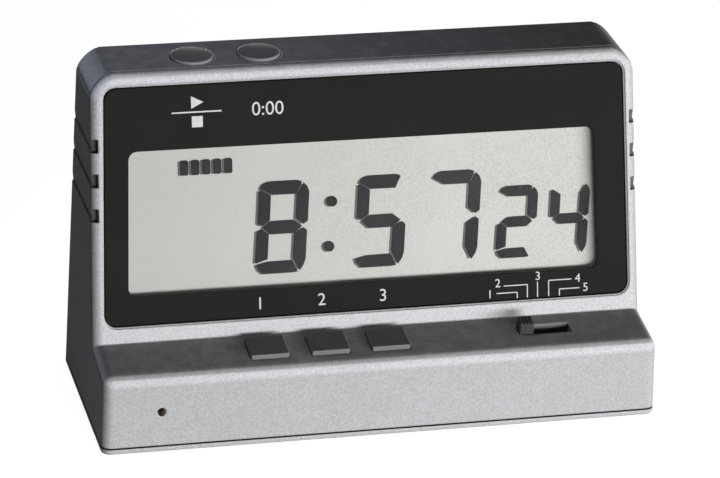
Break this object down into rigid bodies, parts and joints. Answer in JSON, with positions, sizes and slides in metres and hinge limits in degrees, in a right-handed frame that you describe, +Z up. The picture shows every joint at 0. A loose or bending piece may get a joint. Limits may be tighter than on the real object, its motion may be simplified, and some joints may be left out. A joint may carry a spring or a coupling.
{
  "type": "digital tabletop counter",
  "caption": "Wide silver desktop digital timer with a leaning display, round top buttons, setting keys, a slide switch and a battery door in the back.",
  "frame": {"origin": "middle of the footprint, on the surface that the feet stand on", "axes": "+X to the right along the display's width, +Y from the display to the back, +Z up; the display faces -Y and leans back"},
  "size_m": [0.165, 0.0612, 0.1032],
  "materials": {
    "front_case": "satin",
    "rear_shell": "satin",
    "base_plate": "satin",
    "window_panel": "polished",
    "display_glass": "polished",
    "display_reflector": "satin",
    "display_holder": "matte",
    "contact_strip": "matte",
    "board": "satin",
    "chip": "satin",
    "crystal": "satin",
    "trimmer": "satin",
    "screw": "satin",
    "button": "satin",
    "key": "satin",
    "contact_pad": "matte",
    "knob": "satin",
    "wiper": "satin",
    "sounder_disc": "satin",
    "sounder_cup": "matte",
    "door": "satin",
    "cell": "satin",
    "contact": "polished",
    "foot": "matte",
    "lead_red": "satin",
    "lead_black": "satin",
    "ribbon": "satin"
  },
  "bodies": {
    "case": {"front_case": "front_case", "rear_shell": "rear_shell", "base_plate": "base_plate", "window_panel": "window_panel", "display_glass": "display_glass", "display_reflector": "display_reflector", "display_holder": "display_holder", "upper_contact_strip": "contact_strip", "lower_contact_strip": "contact_strip", "main_board": "board", "controller_chip": "chip", "quartz_crystal": "crystal", "trimmer_capacitor": "trimmer", "lower_left_board_screw": "screw", "upper_left_board_screw": "screw", "lower_right_board_screw": "screw", "upper_right_board_screw": "screw", "top_switch_board": "board", "shelf_switch_board": "board", "sounder_disc": "sounder_disc", "sounder_cup": "sounder_cup", "upper_cell": "cell", "lower_cell": "cell", "upper_contact_plate": "contact", "lower_contact_plate": "contact", "upper_contact_spring": "contact", "lower_contact_spring": "contact", "front_left_foot": "foot", "front_right_foot": "foot", "rear_left_foot": "foot", "rear_right_foot": "foot", "front_left_base_screw": "screw", "front_right_base_screw": "screw", "rear_left_base_screw": "screw", "rear_right_base_screw": "screw", "left_back_screw": "screw", "right_back_screw": "screw", "battery_lead_red": "lead_red", "battery_lead_black": "lead_black", "shelf_ribbon": "ribbon", "top_ribbon": "ribbon"},
    "start_stop_button": {"start_stop_button": "button", "start_stop_contact_pad": "contact_pad"},
    "reset_button": {"reset_button": "button", "reset_contact_pad": "contact_pad"},
    "hour_key": {"hour_key": "key", "hour_contact_pad": "contact_pad"},
    "minute_key": {"minute_key": "key", "minute_contact_pad": "contact_pad"},
    "second_key": {"second_key": "key", "second_contact_pad": "contact_pad"},
    "mode_slider": {"mode_slider": "knob", "slider_wiper": "wiper"},
    "battery_door": {"battery_door": "door"}
  },
  "joints": [
    {"name": "start_stop_button_press", "type": "slide", "parent": "case", "child": "start_stop_button", "axis": [0, -0.0043, -1], "range_m": [0, 0.0009], "stiffness_N_per_m": 400, "springref_m": -0.0006},
    {"name": "reset_button_press", "type": "slide", "parent": "case", "child": "reset_button", "axis": [0, -0.0043, -1], "range_m": [0, 0.0009], "stiffness_N_per_m": 400, "springref_m": -0.0006},
    {"name": "hour_key_press", "type": "slide", "parent": "case", "child": "hour_key", "axis": [0, 0.1281, -0.9918], "range_m": [0, 0.001], "stiffness_N_per_m": 400, "springref_m": -0.0006},
    {"name": "minute_key_press", "type": "slide", "parent": "case", "child": "minute_key", "axis": [0, 0.1281, -0.9918], "range_m": [0, 0.001], "stiffness_N_per_m": 400, "springref_m": -0.0006},
    {"name": "second_key_press", "type": "slide", "parent": "case", "child": "second_key", "axis": [0, 0.1281, -0.9918], "range_m": [0, 0.001], "stiffness_N_per_m": 400, "springref_m": -0.0006},
    {"name": "mode_slider_travel", "type": "slide", "parent": "case", "child": "mode_slider", "axis": [1, 0, 0], "range_m": [0, 0.0116]},
    {"name": "battery_door_hinge", "type": "hinge", "parent": "case", "child": "battery_door", "pos_m": [0, 0.02965, 0.0162], "axis": [-1, 0, 0], "range_deg": [0, 95]}
  ]
}
